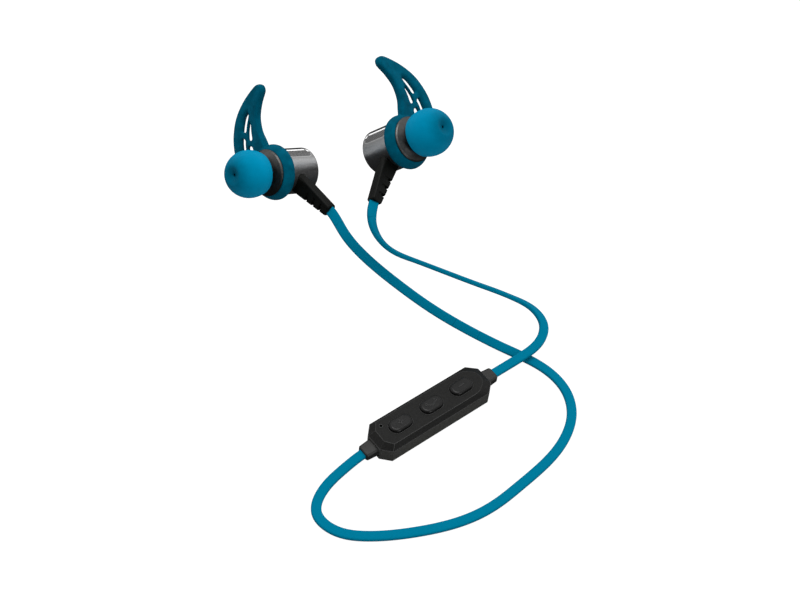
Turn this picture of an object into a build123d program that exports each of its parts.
# Wireless in-ear earphones on a flat neck cord, with an in-line control module.
# Millimetres, +Z up. Origin: centre of the control module's flat underside.
# +X runs along the module towards the short cord, +Z out through the buttons.
# Every physical piece is saved in its own STEP file under parts/.
from build123d import *
import math
import os

os.makedirs("parts", exist_ok=True)

# ---------------------------------------------------------------- driving dimensions
GAP = 0.03                  # assembly gap between rigid pieces

# control module
BODY_LENGTH = 36.6          # end wall to end wall
BODY_WIDTH = 10.2
PARTING = 4.33              # height of the joint between lower shell and lid
LID_RISE = 1.41             # parting line to the flat top
LID_INSET_SIDE = 1.14       # how far the sloped lid flank leans in, long sides
LID_INSET_END = 1.9         # the same at the ends
CUT_NEAR = (2.4, 2.55)      # corner cuts at the -X end, along X and along Y
CUT_FAR = (2.6, 2.4)        # corner cuts at the +X end
LID_CUT_FAR = (3.6, 3.1)    # the same round the lid's flat top
CUT_SHRINK = 0.414          # how much a corner cut loses per unit of inset
CUT_MIN = 0.3
LID_SOFTEN = (0.5, 2.2)     # softening of the +X corners at the parting line and at the top
WALL = 1.1
FLOOR = 0.9
LID_THICK = 0.87
BASE_EDGE = 0.15            # bevel round the underside
LIP = 0.55                  # depth of the lid's locating lip
END_X, SIDE_Y = BODY_LENGTH / 2, BODY_WIDTH / 2
TOP = PARTING + LID_RISE
CEILING = TOP - LID_THICK

# buttons
BUTTONS = (("plus_button", -9.9), ("call_button", 0.15), ("minus_button", 10.0))
BUTTON_LENGTH = 6.7
BUTTON_WIDTH = 4.2
BUTTON_PROUD = 0.85
BUTTON_CROWN = 0.78         # rounding of the top edge
BUTTON_FLANGE = 0.3         # how far the hidden flange reaches past the button's outline
BUTTON_FLANGE_THICK = 0.36
BUTTON_CLEAR = 0.05

# circuit board and what sits on it
BOARD_LENGTH, BOARD_WIDTH, BOARD_THICK = 30.4, 6.3, 0.48
BOARD_Z = 3.37
BOARD_CORNER = 1.0
BOARD_HOLES = ((13.4, 2.2), (-13.4, -2.2))
BOARD_HOLE_R = 0.25
POSTS = ((-14.6, 2.7), (-14.6, -2.7), (14.6, -2.7))
POST_SIZE = 1.0
PARTS_Z = BOARD_Z + BOARD_THICK + 0.005     # underside of the parts on the board
DOME_LENGTH, DOME_WIDTH, DOME_HEIGHT = 3.0, 2.6, 0.35
DOME_R = 1.05
CHIP_HEIGHT = 0.55
CHIP_HALF_WIDTH = 1.6
ANTENNA_HEIGHT = 0.6
BATTERY_LENGTH, BATTERY_WIDTH, BATTERY_HEIGHT = 19.0, 6.6, 2.25
BATTERY_X = -4.4
BATTERY_Z = FLOOR + 0.04
BATTERY_ROUND = 0.35
MIC_X, MIC_Y, MIC_R = -14.35, 2.35, 0.42    # sound hole in the lid
LIGHT_X, LIGHT_Z, LIGHT_R = 14.45, 2.93, 0.4
LED_FRONT = 2.4             # the LED's face towards +Y

# charging socket, open to +Y
PORT_X = 9.3
PORT_LENGTH, PORT_DEPTH, PORT_HEIGHT = 7.5, 5.0, 2.42
PORT_SHEET = 0.3
PORT_Z0 = FLOOR + 0.02
PORT_Z1 = PORT_Z0 + PORT_HEIGHT
PORT_MID_Z = PORT_Z0 + PORT_HEIGHT / 2
PORT_X0, PORT_X1 = PORT_X - PORT_LENGTH / 2, PORT_X + PORT_LENGTH / 2

# port cover, a hinged rubber flap let into the +Y side
FLAP_LENGTH = 9.0
FLAP_HEIGHT = 2.95
FLAP_THICK = 0.66
FLAP_RECESS = 0.72
FLAP_CLEAR = 0.06
FLAP_PLUG = 0.32            # how far the plug stands off the flap's inner face
FLAP_X0, FLAP_X1 = PORT_X - FLAP_LENGTH / 2, PORT_X + FLAP_LENGTH / 2
FLAP_Z0, FLAP_Z1 = PORT_MID_Z - FLAP_HEIGHT / 2, PORT_MID_Z + FLAP_HEIGHT / 2

# control strain reliefs
RELIEF_REACH = 3.3          # how far they stand out of the end walls
RELIEF_WIDTH = 4.2
RELIEF_TIP_WIDTH = 3.8
RELIEF_LOW = 0.75
RELIEF_HIGH = 3.7
RELIEF_BEVEL = 0.45
RELIEF_NECK_INSET = 0.35    # the neck through the wall is smaller than the block all round
RELIEF_FLANGE = 0.6         # depth inside the end wall
RELIEF_GRIP = (6.2, 4.5, 3.0, 2.0, 1.0, -0.9)   # pocket stations, back from the strand's end

# flat cord
CORD_WIDTH = 2.6
CORD_THICK = 1.25
CORD_CORNER = 0.36
CORD_STEP = 2.8             # spacing of the cord's sections
CORD_CLEAR = 0.06           # added to the width and thickness of the pockets that grip it
CORD_TRIM = 0.4             # the lower cord stops this far before the strand's end
KNUCKLE_GAP = 0.06          # between a rounded knuckle and the flat end it turns against
KNUCKLE_R = 0.62
PAST_KNUCKLE = CORD_THICK / 2 + KNUCKLE_GAP
LONG_FLEX = 54.0            # distance along the long strand to its flex point
SHORT_FLEX = 50.0
BUD_FLEX = 4.0              # the same for the flex point just outside each bud's boot

# earbud, seen along its own axis: 0 at the closed back, growing towards the ear
BARREL_R = 6.1
BARREL_BACK = 0.95          # thickness of the closed back
BARREL_BORE_R = 5.2
BARREL_FRONT = 13.1
BARREL_EDGE = 0.45          # rounding of the back edge
MAGNET_R, MAGNET_THICK = 4.2, 1.8
RING_SEAT_R = 5.6           # groove the silicone fin ring turns in
RING_SEAT_BACK = 9.8
RING_R = 7.33
RING_CLEAR = 0.05
FIN_THICK = 2.3
FIN_MID = 11.35
FIN_WEB_THICK = 1.05
CONE_FRONT = 15.2
NOZZLE_R = 2.5
NOZZLE_BORE_R = 1.9
NOZZLE_FRONT = 18.9
BARB_R = 2.7
TIP_STEM_R = 2.74
TIP_STEM_BACK = 15.95
TIP_CENTRE = 19.7           # widest point of the ear tip
TIP_R = 6.18
TIP_FRONT = 26.05           # where the dome would close without its sound hole
TIP_BACK_AXIS = 7.15        # half length of the dome's rear half, closed
TIP_BACK = 16.55
TIP_SKIN = 0.75

# boot: distances are from the barrel axis
BOOT_MID = 6.52             # the boot's place along the barrel
BOOT_THICK = 2.9
BOOT_ROOT = 5.9
BOOT_END = 18.8
BOOT_ROOT_SIDES = (2.75, -2.4)      # spine and toothed side at the root
BOOT_END_SIDES = (1.42, -1.5)       # the same at the end
SPINE_ROUND_ROOT = 1.43             # rounding of the spine's corners at the barrel
SPINE_ROUND = 0.45                  # the same beyond the shoulder
TOOTH_BEVEL = 0.35
NOTCHES = [10.55 + 2.6 * i for i in range(3)]
NOTCH_WIDTH = 0.85
NOTCH_DEPTH = 1.25
SLOT_HALF_WIDTH, SLOT_HALF_DEPTH = 1.6, 1.2     # barrel slot the boot plugs into
BOOT_POCKET = 3.33                  # strand distance covered by the cord's pocket
THROUGH = (0, 12)                   # axial extent of cutters that pass right through the boot

# point on the axis at the closed back, axis towards the ear, direction of the boot
LEFT_BUD = ((6.16, 67.17, 31.56), (-0.8883, -0.0490, 0.4567), (0.0693, -0.9972, 0.0279))
RIGHT_BUD = ((23.96, 57.03, 36.63), (0.3021, -0.6293, 0.7161), (-0.7976, -0.5783, -0.1717))

# centreline of each strand from inside the bud's boot to inside the control's strain relief:
# x, y, z and the outward normal of the cord's broad face
LONG_CORD = [
    (1.44, 51.39, 34.97, -0.558, 0.063, 0.827), (1.65, 48.39, 35.05, -0.546, -0.102, 0.832),
    (1.66, 42.03, 32.35, -0.403, -0.585, 0.704), (3.73, 37.23, 27.66, -0.291, -0.788, 0.542),
    (6.86, 32.91, 23.04, -0.262, -0.785, 0.562), (10.32, 28.53, 18.72, -0.268, -0.760, 0.593),
    (13.89, 23.97, 14.70, -0.268, -0.743, 0.614), (17.73, 19.45, 10.86, -0.249, -0.741, 0.623),
    (21.82, 14.97, 7.27, -0.249, -0.721, 0.646), (26.03, 10.29, 4.08, -0.276, -0.650, 0.709),
    (30.11, 5.04, 1.76, -0.265, -0.433, 0.862), (33.58, -1.01, 0.81, -0.190, -0.147, 0.971),
    (35.54, -7.76, 0.66, -0.047, -0.009, 0.999), (35.02, -14.74, 0.64, 0, -0.001, 1),
    (31.52, -20.80, 0.64, 0, 0, 1), (25.87, -24.97, 0.64, 0, 0, 1),
    (19.29, -27.46, 0.64, 0, 0, 1), (12.35, -28.74, 0.64, 0, 0, 1),
    (5.33, -29.49, 0.64, 0, 0, 1), (-1.70, -29.99, 0.64, 0, 0, 1),
    (-8.73, -29.51, 0.64, 0, 0, 1), (-15.57, -27.80, 0.64, 0, 0, 1),
    (-22.12, -25.19, 0.64, 0, 0, 1), (-28.43, -22.03, 0.64, 0, 0, 1),
    (-34.35, -18.21, 0.64, 0, 0, 1), (-39.16, -13.08, 0.64, -0.001, 0.001, 1),
    (-40.15, -6.42, 0.63, 0, 0, 1), (-34.85, -2.01, 0.78, -0.053, -0.021, 0.998),
    (-28.00, -0.54, 1.46, -0.116, -0.013, 0.993), (-21.00, 0.00, 2.10, -0.039, -0.001, 0.999),
    (-18.00, 0.00, 2.10, 0.043, -0.001, 0.999),
]
SHORT_CORD = [
    (13.56, 43.96, 38.64, 0.030, -0.268, 0.963), (11.17, 42.23, 38.12, -0.034, -0.315, 0.948),
    (7.82, 38.34, 35.75, 0.403, -0.692, 0.599), (8.41, 34.75, 31.38, 0.806, -0.233, 0.544),
    (11.56, 32.42, 27.18, 0.737, 0.164, 0.655), (15.71, 30.75, 23.53, 0.671, 0.339, 0.660),
    (19.99, 28.91, 20.10, 0.675, 0.338, 0.656), (24.24, 26.72, 16.85, 0.672, 0.318, 0.668),
    (28.46, 24.17, 13.85, 0.664, 0.305, 0.683), (32.66, 21.28, 11.12, 0.647, 0.303, 0.700),
    (36.81, 18.04, 8.73, 0.639, 0.282, 0.716), (40.60, 14.16, 6.76, 0.627, 0.223, 0.746),
    (43.31, 9.28, 5.38, 0.522, -0.050, 0.852), (42.72, 3.83, 4.29, 0.158, -0.293, 0.943),
    (38.23, 0.52, 3.40, -0.119, -0.039, 0.992), (32.54, -0.18, 2.84, -0.073, 0, 0.997),
    (26.77, -0.08, 2.52, -0.037, 0.001, 0.999), (21.00, 0.00, 2.40, -0.006, 0, 1),
    (18.00, 0.00, 2.40, 0.006, 0, 1),
]

# silicone fin in the ring's plane: (up = away from the boot, side)
FIN_OUTLINE = [
    # inner edge
    (5.0, 5.2), (6.6, 6.1), (8.6, 7.15), (10.4, 8.9), (11.6, 10.9), (12.35, 13.6), (12.6, 15.8),
    # tip
    (12.85, 17.0), (13.9, 17.85), (15.2, 17.5),
    # outer edge
    (16.2, 16.0), (17.45, 12.2), (18.1, 8.3), (17.95, 4.6), (16.85, 1.1), (15.5, -1.3),
    (13.75, -3.4), (11.5, -5.4), (8.8, -7.0), (5.2, -7.7), (1.6, -7.15),
]
FIN_SLOTS = [
    [(14.89, 9.11), (15.51, 7.13), (15.11, 5.33), (14.51, 3.48), (13.39, 4.12), (13.94, 5.87),
     (14.34, 7.57)],
    [(13.41, 7.08), (12.96, 5.33), (12.21, 3.73), (11.36, 2.73), (10.19, 3.82), (10.84, 4.67),
     (11.74, 5.87), (12.44, 6.87)],
    [(13.71, 1.63), (12.86, 0.13), (11.56, -1.57), (9.96, -2.97), (8.33, -3.75), (7.59, -2.73),
     (9.04, -1.93), (10.54, -0.63), (11.74, 0.87), (12.54, 2.07)],
    [(10.49, 1.4), (10.06, 0.23), (9.26, -0.97), (8.24, -1.62), (7.39, -0.53), (7.74, 0.57),
     (8.24, 1.47), (9.04, 1.97)],
]
# region round the slots where the blade thins to a web
FIN_WEB = [
    (15.1, 10.1), (15.95, 8.3), (16, 6.6), (15.6, 4.8), (14.9, 2.9), (14.1, 1), (13, -0.8),
    (11.5, -2.5), (9.8, -3.9), (8.1, -4.6), (7.75, -3.5), (7.75, -1.7), (7.8, 0.5), (8.5, 1.9),
    (9.5, 2.6), (10.1, 4.1), (11.5, 5.9), (12.5, 7.5), (13.5, 8.2), (14.3, 9.3),
]


# ---------------------------------------------------------------- helpers
def save(shape, name):
    export_step(shape, "parts/" + name + ".step")


def single(shape):
    """The largest solid of a boolean result."""
    return max(shape.solids(), key=lambda solid: solid.volume)


def box(x0, x1, y0, y1, z0, z1):
    centre = Pos((x0 + x1) / 2, (y0 + y1) / 2, (z0 + z1) / 2)
    return centre * Box(x1 - x0, y1 - y0, z1 - z0)


def block(length, width, z0, z1, x=0.0, y=0.0):
    """Box centred on (x, y) between two heights."""
    return box(x - length / 2, x + length / 2, y - width / 2, y + width / 2, z0, z1)


def end_box(sign, near, far, y0, y1, z0, z1):
    """Box between two distances from the origin along +X or -X."""
    x0, x1 = sorted((sign * near, sign * far))
    return box(x0, x1, y0, y1, z0, z1)


def cyl(radius, z0, z1, x=0.0, y=0.0):
    return Pos(x, y, (z0 + z1) / 2) * Cylinder(radius, z1 - z0)


def oblong(length, width, z0, z1, x):
    radius = width / 2
    middle = box(x - length / 2 + radius, x + length / 2 - radius, -radius, radius, z0, z1)
    return middle.fuse(cyl(radius, z0, z1, x - length / 2 + radius),
                       cyl(radius, z0, z1, x + length / 2 - radius))


def poly_wire(points, z):
    return Wire.make_polygon([Vector(x, y, z) for x, y in points], close=True)


def prism(points, z0, z1):
    """Solid between heights z0 and z1 over a closed outline."""
    return Solid.extrude(Face(poly_wire(points, z0)), Vector(0, 0, z1 - z0))


def turned(*runs):
    """Solid of revolution about Z. Each run is ("line" or "spline", [(r, z), ...]) and
    starts where the last one ended; a line closes the profile."""
    edges, path = [], []
    for kind, points in runs:
        path = path[-1:] + [Vector(r, 0, z) for r, z in points]
        if kind == "spline":
            edges.append(Edge.make_spline(path))
        else:
            edges += [Edge.make_line(start, end) for start, end in zip(path, path[1:])]
    first_r, first_z = runs[0][1][0]
    edges.append(Edge.make_line(path[-1], Vector(first_r, 0, first_z)))
    return Solid.revolve(Face(Wire(edges)), 360, Axis.Z)


# ---------------------------------------------------------------- smooth curve through a table
def natural_spline(knots, values):
    """Second derivatives of the natural cubic spline through values at knots."""
    count = len(knots)
    below, diagonal = [0.0] * count, [1.0] * count
    above, right = [0.0] * count, [0.0] * count
    for i in range(1, count - 1):
        before, after = knots[i] - knots[i - 1], knots[i + 1] - knots[i]
        below[i], diagonal[i], above[i] = before, 2 * (before + after), after
        right[i] = 6 * ((values[i + 1] - values[i]) / after
                        - (values[i] - values[i - 1]) / before)
    for i in range(1, count):
        factor = below[i] / diagonal[i - 1]
        diagonal[i] -= factor * above[i - 1]
        right[i] -= factor * right[i - 1]
    bends = [0.0] * count
    bends[-1] = right[-1] / diagonal[-1]
    for i in range(count - 2, -1, -1):
        bends[i] = (right[i] - above[i] * bends[i + 1]) / diagonal[i]
    return bends


class Strand:
    """A cord's centreline, parameterised by the chord length of its table."""

    def __init__(self, table):
        self.columns = [list(column) for column in zip(*table)]
        self.knots = [0.0]
        for here, following in zip(table, table[1:]):
            self.knots.append(self.knots[-1] + math.dist(here[:3], following[:3]))
        self.bends = [natural_spline(self.knots, column) for column in self.columns]
        self.length = self.knots[-1]

    def value(self, column, at):
        """Value and slope of one table column at a distance along the strand."""
        knots, values, bends = self.knots, self.columns[column], self.bends[column]
        i = max(0, min(len(knots) - 2, sum(1 for knot in knots if knot <= at) - 1))
        span = knots[i + 1] - knots[i]
        to_go, gone = knots[i + 1] - at, at - knots[i]
        start = values[i] / span - bends[i] * span / 6
        end = values[i + 1] / span - bends[i + 1] * span / 6
        value = ((bends[i] * to_go ** 3 + bends[i + 1] * gone ** 3) / (6 * span)
                 + start * to_go + end * gone)
        slope = (-bends[i] * to_go ** 2 + bends[i + 1] * gone ** 2) / (2 * span) - start + end
        return value, slope

    def frame(self, at):
        """Centre, tangent, broad-face normal and width direction."""
        centre = [self.value(k, at) for k in range(3)]
        point = Vector(*[value for value, _ in centre])
        tangent = Vector(*[slope for _, slope in centre]).normalized()
        normal = Vector(*[self.value(k, at)[0] for k in range(3, 6)])
        normal = (normal - tangent * normal.dot(tangent)).normalized()
        return point, tangent, normal, normal.cross(tangent)

    def section(self, at, shift=0.0, clear=0.0):
        """Closed eight-sided outline of the cord, moved along the tangent by shift and
        made wider and thicker by clear."""
        point, tangent, normal, across = self.frame(at)
        point = point + tangent * shift
        a, b = (CORD_WIDTH + clear) / 2, (CORD_THICK + clear) / 2
        c = CORD_CORNER
        outline = [(a, b - c), (a - c, b), (c - a, b), (-a, b - c),
                   (-a, c - b), (c - a, -b), (a - c, -b), (a, c - b)]
        return Wire.make_polygon([point + across * x + normal * y for x, y in outline],
                                 close=True)


def cord(strand, start, end, knuckle=False):
    """Length of flat cord; a knuckle is a round end that turns about the cord's width."""
    count = max(3, int(round((end - start) / CORD_STEP)) + 1)
    body = Solid.make_loft([strand.section(start + (end - start) * i / (count - 1))
                            for i in range(count)], ruled=True)
    if knuckle:
        point, tangent, _, across = strand.frame(end)
        pin_place = Plane(origin=point, x_dir=tangent, z_dir=across).location
        body = single(body.fuse(pin_place * Cylinder(KNUCKLE_R, CORD_WIDTH - 2 * CORD_CORNER)))
    return body


# ---------------------------------------------------------------- control module
def octagon(inset_x, inset_y, far=CUT_FAR):
    """Plan outline of the module, pulled in by the insets; corner cuts shrink with them."""
    near_x, far_x = [max(cut - CUT_SHRINK * inset_x, CUT_MIN) for cut in (CUT_NEAR[0], far[0])]
    near_y, far_y = [max(cut - CUT_SHRINK * inset_y, CUT_MIN) for cut in (CUT_NEAR[1], far[1])]
    x, y = END_X - inset_x, SIDE_Y - inset_y
    return [(-x + near_x, -y), (x - far_x, -y), (x, -y + far_y), (x, y - far_y),
            (x - far_x, y), (-x + near_x, y), (-x, y - near_y), (-x, -y + near_y)]


def far_rounded(outline, amount):
    """Outline with its +X corners softened: each corner becomes three points."""
    softened = []
    for i, corner in enumerate(outline):
        if corner[0] <= 0:
            softened.append(corner)
            continue
        neighbours = outline[i - 1], outline[(i + 1) % len(outline)]
        sides = [(x - corner[0], y - corner[1]) for x, y in neighbours]
        lengths = [math.hypot(*side) for side in sides]
        reach = min(amount, lengths[0] * 0.45, lengths[1] * 0.45)
        before, after = [(corner[0] + x / length * reach, corner[1] + y / length * reach)
                         for (x, y), length in zip(sides, lengths)]
        middle = ((before[0] + after[0] + 2 * corner[0]) / 4,
                  (before[1] + after[1] + 2 * corner[1]) / 4)
        softened += [before, middle, after]
    return softened


def lower_shell():
    outer = octagon(0, 0)
    shell = Solid.make_loft([poly_wire(octagon(BASE_EDGE, BASE_EDGE), 0.0),
                             poly_wire(outer, BASE_EDGE)], ruled=True)
    shell = shell.fuse(prism(outer, BASE_EDGE, PARTING - 0.01))
    shell = shell.cut(prism(octagon(WALL, WALL), FLOOR, PARTING + 1))
    # openings for the necks of the two strain reliefs
    inset = RELIEF_NECK_INSET - GAP
    half_width = RELIEF_WIDTH / 2 - inset
    for sign in (-1, 1):
        shell = shell.cut(end_box(sign, END_X - WALL - RELIEF_FLANGE, END_X + 1,
                                  -half_width, half_width,
                                  RELIEF_LOW + inset, RELIEF_HIGH - inset))
    # charging socket window and the flap's recess in the +Y side
    shell = shell.cut(box(PORT_X0 - 0.1, PORT_X1 + 0.1, SIDE_Y - WALL - 0.2, SIDE_Y + 1,
                          PORT_Z0 + 0.1, PORT_Z1 + 0.02))
    shell = shell.cut(box(FLAP_X0 - FLAP_CLEAR, FLAP_X1 + FLAP_CLEAR,
                          SIDE_Y - FLAP_RECESS, SIDE_Y + 1,
                          FLAP_Z0 - FLAP_CLEAR, FLAP_Z1 + FLAP_CLEAR))
    # light pipe hole beside the socket
    shell = shell.cut(Pos(LIGHT_X, SIDE_Y, LIGHT_Z) * Rot(90, 0, 0)
                      * Cylinder(LIGHT_R + GAP, 2 * WALL + 1.2))
    # posts that carry the board
    for x, y in POSTS:
        shell = shell.fuse(block(POST_SIZE, POST_SIZE, FLOOR - 0.1, BOARD_Z - 0.01, x, y))
    return single(shell)


def upper_shell():
    """Lid with sloped flanks, crisp facets at -X and softened ones at +X."""
    top = octagon(LID_INSET_END, LID_INSET_SIDE, far=LID_CUT_FAR)
    lid = Solid.make_loft([poly_wire(far_rounded(octagon(0, 0), LID_SOFTEN[0]), PARTING),
                           poly_wire(far_rounded(top, LID_SOFTEN[1]), TOP)], ruled=True)
    pocket_top = octagon(LID_INSET_END + 0.75, LID_INSET_SIDE + 0.6)
    pocket = Solid.make_loft([poly_wire(octagon(WALL + 0.5, WALL + 0.45), PARTING - 1),
                              poly_wire(pocket_top, CEILING)], ruled=True)
    lid = lid.cut(pocket)
    lip = prism(octagon(WALL + GAP, WALL + GAP), PARTING - LIP, PARTING + 0.05).cut(pocket)
    lid = lid.fuse(lip)
    for sign in (-1, 1):    # the lip clears the strain reliefs
        lid = lid.cut(end_box(sign, END_X - 4.0, END_X, -2.3, 2.3,
                              PARTING - 1.5, PARTING - 0.001))
    for _, x in BUTTONS:
        lid = lid.cut(oblong(BUTTON_LENGTH + 2 * BUTTON_CLEAR, BUTTON_WIDTH + 2 * BUTTON_CLEAR,
                             CEILING - 1, TOP + 1, x))
    return single(lid.cut(cyl(MIC_R, CEILING - 1, TOP + 1, MIC_X, MIC_Y)))


def button(x):
    """Oblong crowned cap with a flange held under the lid."""
    flange_top = CEILING - 0.04
    flange_low = flange_top - BUTTON_FLANGE_THICK
    cap_top = TOP + BUTTON_PROUD
    cap = single(oblong(BUTTON_LENGTH, BUTTON_WIDTH, flange_low, cap_top, x))
    cap = cap.fillet(BUTTON_CROWN, [e for e in cap.edges() if e.center().Z > cap_top - 1e-3])
    return single(cap.fuse(oblong(BUTTON_LENGTH + 2 * BUTTON_FLANGE,
                                  BUTTON_WIDTH + 2 * BUTTON_FLANGE,
                                  flange_low, flange_top, x)))


def circuit_board():
    board = block(BOARD_LENGTH, BOARD_WIDTH, BOARD_Z, BOARD_Z + BOARD_THICK)
    board = single(board).chamfer(BOARD_CORNER, None, board.edges().filter_by(Axis.Z))
    return single(board.cut(*[cyl(BOARD_HOLE_R, BOARD_Z - 1, BOARD_Z + 1, x, y)
                              for x, y in BOARD_HOLES]))


def dome_switches():
    step = PARTS_Z + DOME_HEIGHT * 0.5
    return Compound([block(DOME_LENGTH, DOME_WIDTH, PARTS_Z, step, x)
                     .fuse(cyl(DOME_R, step, PARTS_Z + DOME_HEIGHT * 0.9, x)).solids()[0]
                     for _, x in BUTTONS])


def battery():
    cell = block(BATTERY_LENGTH, BATTERY_WIDTH, BATTERY_Z, BATTERY_Z + BATTERY_HEIGHT, BATTERY_X)
    return single(cell.fillet(BATTERY_ROUND, cell.edges().filter_by(Axis.X)))


def light_pipe():
    back = LED_FRONT + GAP
    return (Pos(LIGHT_X, (SIDE_Y + back) / 2, LIGHT_Z) * Rot(90, 0, 0)
            * Cylinder(LIGHT_R, SIDE_Y - back))


def charging_port():
    """Folded shell, open to +Y, with its tongue."""
    front = SIDE_Y - WALL - GAP
    back = front - PORT_DEPTH
    socket = box(PORT_X0, PORT_X1, back, front, PORT_Z0, PORT_Z1)
    socket = socket.cut(box(PORT_X0 + PORT_SHEET, PORT_X1 - PORT_SHEET, back + 0.6, front + 1,
                            PORT_Z0 + PORT_SHEET, PORT_Z1 - PORT_SHEET))
    tongue = box(PORT_X - 1.9, PORT_X + 1.9, back + 0.3, front - 0.8,
                 PORT_Z1 - 1.25, PORT_Z1 - 0.65)
    return single(socket.fuse(tongue))


def port_cover():
    """Rubber flap with a shallow plug, turning about its +X end."""
    hinge_r = FLAP_THICK / 2
    hinge_x = FLAP_X1 - hinge_r
    inner_face = SIDE_Y - FLAP_THICK
    flap = box(FLAP_X0, hinge_x, inner_face, SIDE_Y, FLAP_Z0, FLAP_Z1)
    flap = flap.fuse(cyl(hinge_r, FLAP_Z0, FLAP_Z1, hinge_x, SIDE_Y - hinge_r))
    # nail nick at the free end
    flap = flap.cut(cyl(1.3, FLAP_Z0 - 1, FLAP_Z1 + 1, FLAP_X0 - 0.8, SIDE_Y + 0.2))
    plug = box(PORT_X - 3.3, PORT_X + 2.9, inner_face - FLAP_PLUG, inner_face,
               PORT_MID_Z - 0.85, PORT_MID_Z + 0.85)
    return single(flap.fuse(plug))


def control_boot(sign, strand):
    """Strain relief: faceted block moulded on the cord at the +X or -X end."""
    def rim(x, half, low, high):
        c = RELIEF_BEVEL
        outline = [(-half + c, low), (half - c, low), (half, low + c), (half, high - c),
                   (half - c, high), (-half + c, high), (-half, high - c), (-half, low + c)]
        return Wire.make_polygon([Vector(sign * x, y, z) for y, z in outline], close=True)

    root, tip = RELIEF_WIDTH / 2, RELIEF_TIP_WIDTH / 2
    low, high = RELIEF_LOW, RELIEF_HIGH
    body = Solid.make_loft([
        rim(END_X + 0.02, root, low, high),
        rim(END_X + RELIEF_REACH - 0.25, tip, low + 0.15, high - 0.2),
        rim(END_X + RELIEF_REACH, tip - 0.22, low + 0.37, high - 0.42)], ruled=True)
    inside = END_X - WALL - 0.02
    half = root - RELIEF_NECK_INSET
    neck = end_box(sign, inside, END_X + 0.1, -half, half,
                   low + RELIEF_NECK_INSET, high - RELIEF_NECK_INSET)
    half -= 0.01
    flange = end_box(sign, inside, END_X - WALL - RELIEF_FLANGE, -half, half,
                     FLOOR + GAP, BOARD_Z - GAP)
    relief = body.fuse(neck, flange)
    pocket = Solid.make_loft([strand.section(strand.length - back, clear=CORD_CLEAR)
                              for back in RELIEF_GRIP], ruled=True)
    return single(relief.cut(pocket))


# ---------------------------------------------------------------- earbuds
# Local frame of a bud: Z along the barrel from its closed back to the ear, X towards the boot,
# Y to the boot's smooth spine. The right bud is the left bud mirrored in Y.
def barrel():
    edge = BARREL_EDGE
    body = turned(
        ("line", [(0, 0), (BARREL_R - edge, 0)]),
        ("spline", [(BARREL_R - edge * 0.617, edge * 0.076),
                    (BARREL_R - edge * 0.293, edge * 0.293),
                    (BARREL_R - edge * 0.076, edge * 0.617), (BARREL_R, edge)]),
        ("line", [(BARREL_R, RING_SEAT_BACK), (RING_SEAT_R, RING_SEAT_BACK),
                  (RING_SEAT_R, BARREL_FRONT - 1.2), (BARREL_BORE_R, BARREL_FRONT - 1.2),
                  (BARREL_BORE_R, BARREL_BACK), (0, BARREL_BACK)]))
    return single(body.cut(box(2, BARREL_R + 1, -SLOT_HALF_WIDTH, SLOT_HALF_WIDTH,
                               BOOT_MID - SLOT_HALF_DEPTH, BOOT_MID + SLOT_HALF_DEPTH)))


def back_magnet():
    """The magnet that makes the two buds snap together."""
    return cyl(MAGNET_R, BARREL_BACK + GAP, BARREL_BACK + GAP + MAGNET_THICK)


def driver_basket():
    return single(cyl(4.95, 8.6, 11.85).cut(cyl(4.5, 9.0, 12.5)).cut(cyl(1.2, 8, 9.5)))


def driver_magnet():
    return single(cyl(3.3, 9.02, 10.2).cut(cyl(1.2, 8.5, 11)))


def voice_coil():
    return single(cyl(3.0, 10.45, 11.5).cut(cyl(2.7, 10, 12)))


def diaphragm():
    return single(turned(
        ("spline", [(0, 11.95), (1.3, 11.86), (2.6, 11.55)]),
        ("spline", [(3.5, 11.83), (4.45, 11.62)]),
        ("line", [(4.45, 11.5), (3.5, 11.71), (2.6, 11.52), (1.3, 11.74), (0, 11.84)])))


def front_cap():
    """Rim, shallow cone and nozzle with a retaining barb."""
    rim_back = BARREL_FRONT + GAP
    return single(turned(
        ("line", [(NOZZLE_BORE_R, 14.3), (4.35, 13.3), (4.6, BARREL_FRONT - 1.15),
                  (RING_SEAT_R, BARREL_FRONT - 1.15), (RING_SEAT_R, rim_back),
                  (BARREL_R - 0.15, rim_back), (BARREL_R, BARREL_FRONT + 0.18),
                  (BARREL_R, BARREL_FRONT + 0.42), (BARREL_R - 0.28, BARREL_FRONT + 0.7)]),
        ("spline", [(4.6, 14.32), (3.5, 14.85), (NOZZLE_R + 0.2, CONE_FRONT)]),
        ("line", [(NOZZLE_R, CONE_FRONT + 0.2), (NOZZLE_R, 17.5), (BARB_R, 17.65),
                  (BARB_R, 18.0), (NOZZLE_R - 0.05, NOZZLE_FRONT),
                  (NOZZLE_BORE_R, NOZZLE_FRONT)])))


def nozzle_mesh():
    return cyl(NOZZLE_BORE_R - 0.02, NOZZLE_FRONT - 0.35, NOZZLE_FRONT - 0.2)


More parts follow.
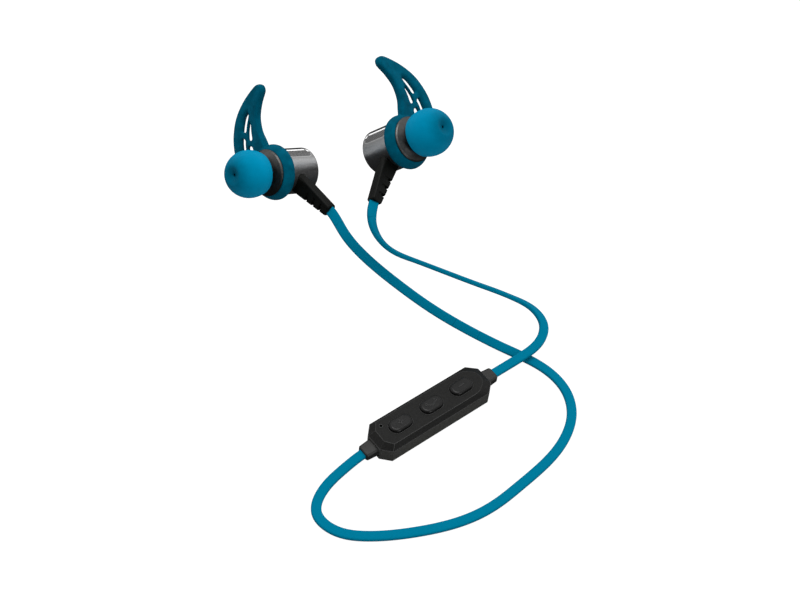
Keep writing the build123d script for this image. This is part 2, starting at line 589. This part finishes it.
def ear_tip():
    """Silicone dome with a rearward skirt and an inner stem on the nozzle."""
    def arc(radius, half_length, angles):
        """Points on an ellipse; angles run from the widest circle, forwards positive."""
        return [(radius * math.cos(angle), TIP_CENTRE + half_length * math.sin(angle))
                for angle in angles]

    front_axis = TIP_FRONT - TIP_CENTRE
    back_angle = math.asin((TIP_CENTRE - TIP_BACK) / TIP_BACK_AXIS)
    inner_r = TIP_R - TIP_SKIN
    outer_back = arc(TIP_R, TIP_BACK_AXIS, [-back_angle * k for k in (1, 0.66, 0.33, 0)])
    outer_front = arc(TIP_R, front_axis, [math.radians(a) for a in (15, 30, 45, 58)])
    inner_front = arc(inner_r, front_axis - 1.3, [math.radians(a) for a in (45, 30, 15, 0)])
    inner_back = arc(inner_r, TIP_BACK_AXIS - TIP_SKIN,
                     [-back_angle * k * 1.12 for k in (0.33, 0.66, 1)])
    stem_front = NOZZLE_FRONT + 0.6
    return single(turned(
        ("spline", outer_back),
        ("spline", outer_front),
        ("spline", [(2.75, TIP_FRONT - 0.72), (2.2, TIP_FRONT - 0.62), (1.5, TIP_FRONT - 0.85),
                    (0.85, TIP_FRONT - 1.2), (0.4, TIP_FRONT - 1.45)]),
        ("line", [(0.4, TIP_FRONT - 1.9), (1.7, TIP_FRONT - 3.2), (1.9, stem_front),
                  (TIP_STEM_R, stem_front), (TIP_STEM_R, TIP_STEM_BACK),
                  (3.55, TIP_STEM_BACK), (3.6, 21.9), inner_front[0]]),
        ("spline", inner_front[1:]),
        ("spline", inner_back)))


def fin_points(table):
    return [Vector(-up, side, 0) for up, side in table]


def smooth_prism(table, z, height):
    """Solid over a closed smooth outline in the fin's plane, from height z up."""
    face = Face(Wire([Edge.make_spline(fin_points(table), periodic=True)]))
    return Solid.extrude(face, Vector(0, 0, height)).moved(Location((0, 0, z)))


def ear_fin():
    """Silicone ring with a slotted crescent blade, turning in the barrel's groove."""
    z0, z1 = RING_SEAT_BACK + 0.06, BARREL_FRONT - 0.04
    bore_r = RING_SEAT_R + RING_CLEAR
    ring = turned(
        ("line", [(bore_r, z0), (6.75, z0)]),
        ("spline", [(7.17, z0 + 0.2), (RING_R, z0 + 0.62), (7.22, z0 + 1.3), (6.9, z0 + 2.1),
                    (6.4, z1 - 0.3), (6.1, z1)]),
        ("line", [(bore_r, z1)]))
    path = fin_points(FIN_OUTLINE)
    outline = Wire([Edge.make_spline(path), Edge.make_line(path[-1], path[0])])
    blade = Solid.extrude(Face(outline), Vector(0, 0, FIN_THICK))
    blade = blade.moved(Location((0, 0, FIN_MID - FIN_THICK / 2)))
    for slot in FIN_SLOTS:
        blade = blade.cut(smooth_prism(slot, 7.5, 8))
    for z in (FIN_MID + FIN_WEB_THICK / 2, FIN_MID - FIN_WEB_THICK / 2 - 2):
        blade = blade.cut(smooth_prism(FIN_WEB, z, 2))
    return single(ring.fuse(single(blade)).cut(cyl(bore_r, z0 - 2, z1 + 2)))


def boot_sides(distance):
    """Y of the spine and of the toothed side at a distance from the barrel axis."""
    part = (distance - BOOT_ROOT) / (BOOT_END - BOOT_ROOT)
    return [root + (end - root) * part for root, end in zip(BOOT_ROOT_SIDES, BOOT_END_SIDES)]


def boot_section(distance, radius, inset=0.0):
    """Outline across the boot: spine corners rounded by radius, toothed corners bevelled."""
    spine, toothed = boot_sides(distance)
    spine, toothed, half = spine - inset, toothed + inset, BOOT_THICK / 2 - inset
    bevel = TOOTH_BEVEL

    def corner(side, angles):
        return [(spine - radius + radius * math.sin(math.radians(a)),
                 side * (half - radius + radius * math.cos(math.radians(a)))) for a in angles]

    outline = [(toothed, -half + bevel), (toothed + bevel * 0.3, -half + bevel * 0.3),
               (toothed + bevel, -half)]
    outline += corner(-1, (0, 22, 45, 67, 90)) + corner(1, (89, 67, 45, 22, 0))
    outline += [(toothed + bevel, half), (toothed + bevel * 0.3, half - bevel * 0.3),
                (toothed, half - bevel)]
    return Wire.make_polygon([Vector(distance, y, BOOT_MID + z) for y, z in outline], close=True)


def boot_body():
    """Tapering wedge that hugs the barrel, smooth spine on +Y, notched edge on -Y."""
    # distance from the barrel axis, spine rounding, inset
    stations = [
        (4.4, SPINE_ROUND_ROOT, 0), (6.4, SPINE_ROUND_ROOT, 0),
        (7.1, SPINE_ROUND_ROOT * 0.82, 0), (7.9, SPINE_ROUND_ROOT * 0.55, 0),
        (8.8, SPINE_ROUND * 1.15, 0), (10.0, SPINE_ROUND, 0),
        (BOOT_END - 0.35, SPINE_ROUND, 0), (BOOT_END - 0.08, SPINE_ROUND, 0.16),
        (BOOT_END, SPINE_ROUND, 0.34),
    ]
    wedge = Solid.make_loft([boot_section(*station) for station in stations], ruled=True)
    wedge = wedge.cut(cyl(BARREL_R + 0.02, *THROUGH))
    for x in NOTCHES:
        edge = boot_sides(x)[1]
        wedge = wedge.cut(box(x, x + NOTCH_WIDTH, edge - 1, edge + NOTCH_DEPTH, *THROUGH))
        # shallow grooves carry the notch across both broad faces
        for side in (-1, 1):
            z = BOOT_MID + side * BOOT_THICK / 2
            wedge = wedge.cut(box(x + 0.1, x + NOTCH_WIDTH - 0.1, edge - 1, 0.45,
                                  z - 0.22, z + 0.22))
    # plug through the barrel's slot and a flange inside the bore
    half_width, half_depth = SLOT_HALF_WIDTH - GAP, SLOT_HALF_DEPTH - GAP
    plug_span = (-half_width, half_width, BOOT_MID - half_depth, BOOT_MID + half_depth)
    plug = box(5.0, BARREL_R + 0.3, *plug_span)
    root = box(4.5, 5.1, *plug_span)
    outside_bore = cyl(20, *THROUGH).cut(cyl(BARREL_BORE_R - 0.04, -1, 13))
    flange = box(4.1, 4.9, -1.9, 1.9, BOOT_MID - 1.6, BOOT_MID + 1.6).cut(outside_bore)
    return single(single(wedge).fuse(plug, root, flange))


def cord_pocket(strand):
    """Room for the cord's end inside a bud's boot, in the product's frame."""
    sections = [strand.section(0, -0.06, CORD_CLEAR)]
    sections += [strand.section(BOOT_POCKET * k / 3, clear=CORD_CLEAR) for k in (1, 2, 3)]
    sections.append(strand.section(BOOT_POCKET, 0.8, CORD_CLEAR))
    return Solid.make_loft(sections, ruled=True)


def make_bud(prefix, placement, mirrored, strand):
    origin, axis, boot_direction = placement
    location = Plane(origin=origin, x_dir=boot_direction, z_dir=axis).location

    def placed(shape):
        if mirrored:
            shape = shape.mirror(Plane.XZ)
        return shape.moved(location)

    pieces = (
        ("barrel", barrel), ("magnet", back_magnet), ("driver_basket", driver_basket),
        ("driver_magnet", driver_magnet), ("voice_coil", voice_coil), ("diaphragm", diaphragm),
        ("front_cap", front_cap), ("nozzle_mesh", nozzle_mesh), ("ear_tip", ear_tip),
        ("ear_fin", ear_fin),
    )
    for name, build in pieces:
        save(placed(build()), prefix + "_" + name)
    save(single(placed(boot_body()).cut(cord_pocket(strand))), prefix + "_boot")
    save(cord(strand, 0.0, BUD_FLEX, knuckle=True), prefix + "_cord_end")


# ---------------------------------------------------------------- build
long_strand = Strand(LONG_CORD)
short_strand = Strand(SHORT_CORD)

save(lower_shell(), "control_lower_shell")
save(upper_shell(), "control_upper_shell")
for button_name, button_x in BUTTONS:
    save(button(button_x), button_name)
save(circuit_board(), "circuit_board")
save(dome_switches(), "dome_switches")
CHIP_TOP = PARTS_Z + CHIP_HEIGHT
save(box(-15.0, -13.62, MIC_Y - 2.1, MIC_Y, PARTS_Z, CHIP_TOP), "microphone")
save(box(-5.95, -3.75, -CHIP_HALF_WIDTH, CHIP_HALF_WIDTH, PARTS_Z, CHIP_TOP), "bluetooth_chip")
save(box(14.4, 15.3, -CHIP_HALF_WIDTH, CHIP_HALF_WIDTH, PARTS_Z, PARTS_Z + ANTENNA_HEIGHT),
     "chip_antenna")
save(battery(), "battery_pack")
save(box(LIGHT_X - 0.45, LIGHT_X + 0.45, 1.75, LED_FRONT, LIGHT_Z - 0.3, BOARD_Z - 0.005),
     "status_led")
save(light_pipe(), "status_light_pipe")
save(charging_port(), "charging_port")
save(port_cover(), "port_cover")
save(control_boot(-1, long_strand), "control_boot_long")
save(control_boot(1, short_strand), "control_boot_short")

for cord_name, strand, flex in (("long", long_strand, LONG_FLEX),
                                ("short", short_strand, SHORT_FLEX)):
    save(cord(strand, flex + PAST_KNUCKLE, strand.length - CORD_TRIM),
         "cord_" + cord_name + "_lower")
    save(cord(strand, BUD_FLEX + PAST_KNUCKLE, flex, knuckle=True),
         "cord_" + cord_name + "_upper")

make_bud("left", LEFT_BUD, False, long_strand)
make_bud("right", RIGHT_BUD, True, short_strand)
